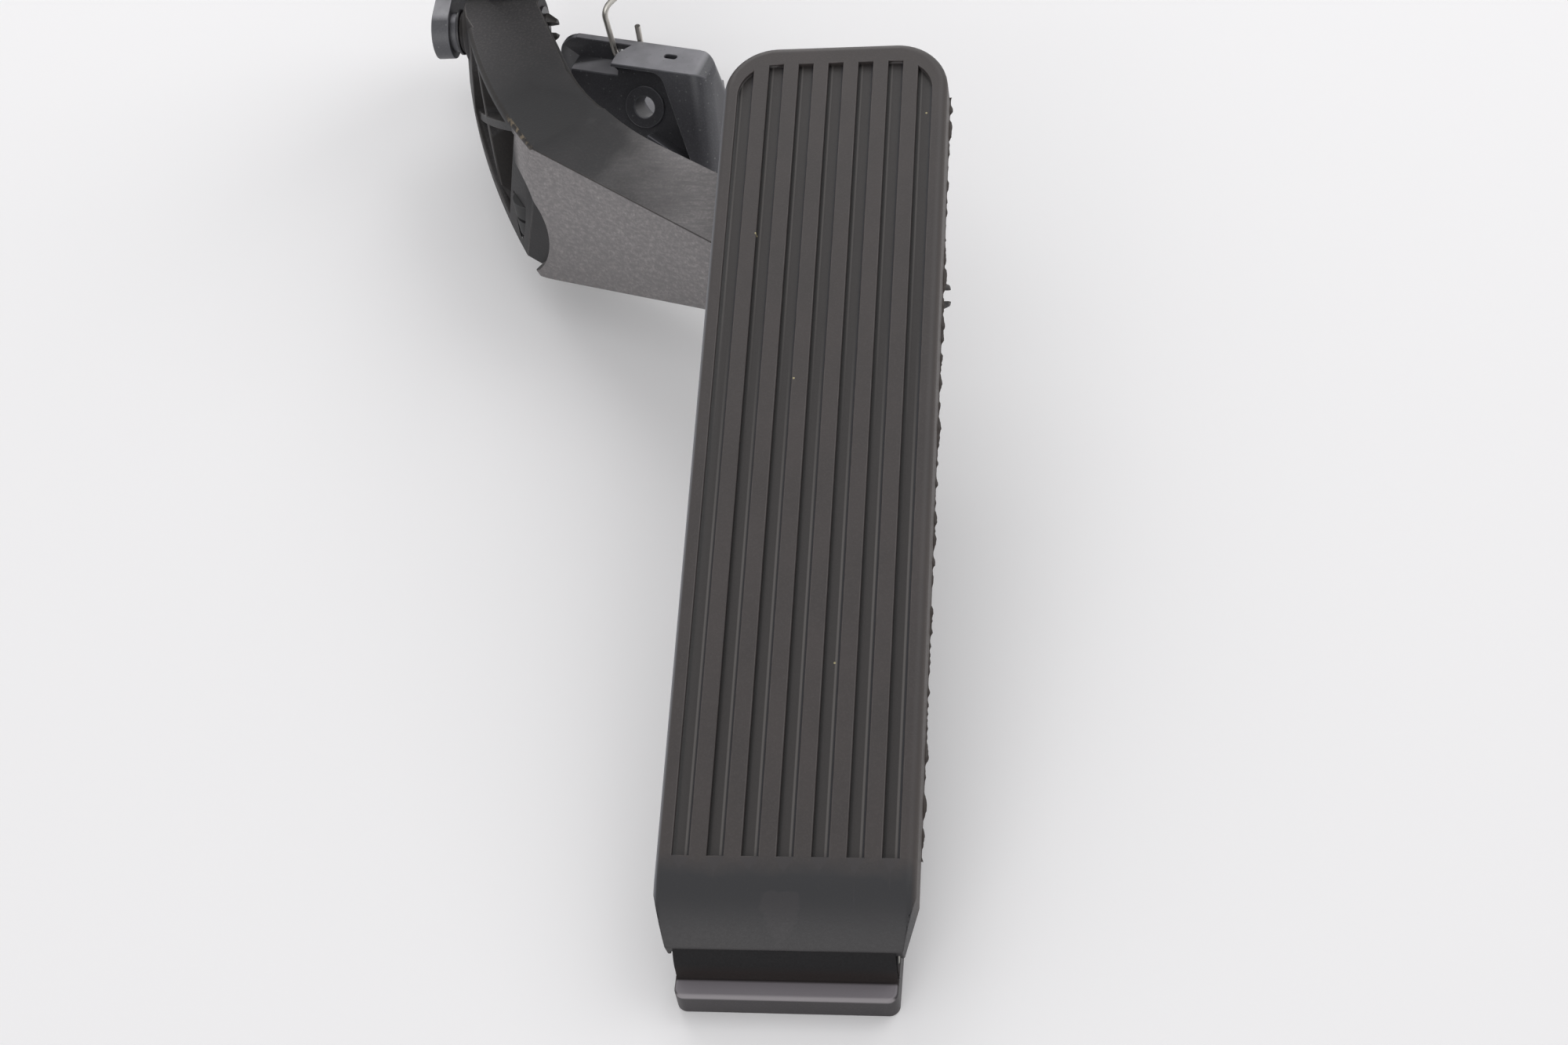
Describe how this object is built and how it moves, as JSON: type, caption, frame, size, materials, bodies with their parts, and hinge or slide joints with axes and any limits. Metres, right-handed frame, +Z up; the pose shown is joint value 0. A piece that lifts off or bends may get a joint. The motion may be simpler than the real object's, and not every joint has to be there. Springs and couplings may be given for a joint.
{
  "type": "accelerator pedal",
  "caption": "Floor-hinged accelerator pedal: grooved plate on a hinged foot, ribbed L-shaped lever arm with roller, bulkhead bracket and wire return spring.",
  "frame": {"origin": "on the floor, at the foot's underside, straight below the hinge axis of the plate", "axes": "+X across the pedal to the right, +Y from the driver's heel to the bulkhead, +Z up"},
  "size_m": [0.177, 0.3726, 0.122],
  "materials": {
    "plate_nylon": "satin charcoal moulded nylon",
    "arm_nylon": "grainy glass-filled nylon",
    "bracket_nylon": "smooth black nylon",
    "foot_nylon": "satin black nylon",
    "pin_nylon": "matte black nylon",
    "acetal": "black acetal",
    "rubber": "matte black",
    "zinc_steel": "zinc plated",
    "spring_wire": "drawn spring wire"
  },
  "bodies": {
    "base": {"foot": "foot_nylon", "hinge_pin": "zinc_steel", "floor_clip_left": "zinc_steel", "floor_clip_right": "zinc_steel", "bracket": "bracket_nylon", "bolt_sleeves": "zinc_steel", "pivot_pin": "pin_nylon", "return_spring": "spring_wire", "spring_spool": "acetal", "push_nut": "zinc_steel", "idle_stop": "rubber", "cable_grommet": "rubber"},
    "plate": {"pedal_plate": "plate_nylon", "guide_rail": "zinc_steel"},
    "arm": {"arm": "arm_nylon", "left_bush": "acetal", "right_bush": "acetal", "floor_buffer": "rubber", "cable_eye": "acetal"},
    "roller": {"roller": "acetal"}
  },
  "joints": [
    {"name": "arm_pivot", "type": "hinge", "parent": "base", "child": "arm", "pos_m": [-0.113, 0.302, 0.05], "axis": [1, 0, 0], "range_deg": [0, 12], "stiffness_Nm_per_rad": 0.55, "springref_deg": -51.57, "deforming": ["return_spring"]},
    {"name": "pedal_hinge", "type": "hinge", "parent": "base", "child": "plate", "pos_m": [0, 0, 0.01], "axis": [1, 0, 0], "range_deg": [-6.85, 0]},
    {"name": "roller_spin", "type": "hinge", "parent": "arm", "child": "roller", "pos_m": [0.018, 0.1916, 0.0385], "axis": [1, 0, 0], "continuous": true}
  ],
  "couplings": [
    {"joint": "pedal_hinge", "follows": "arm_pivot", "ratio": -0.5708}
  ]
}
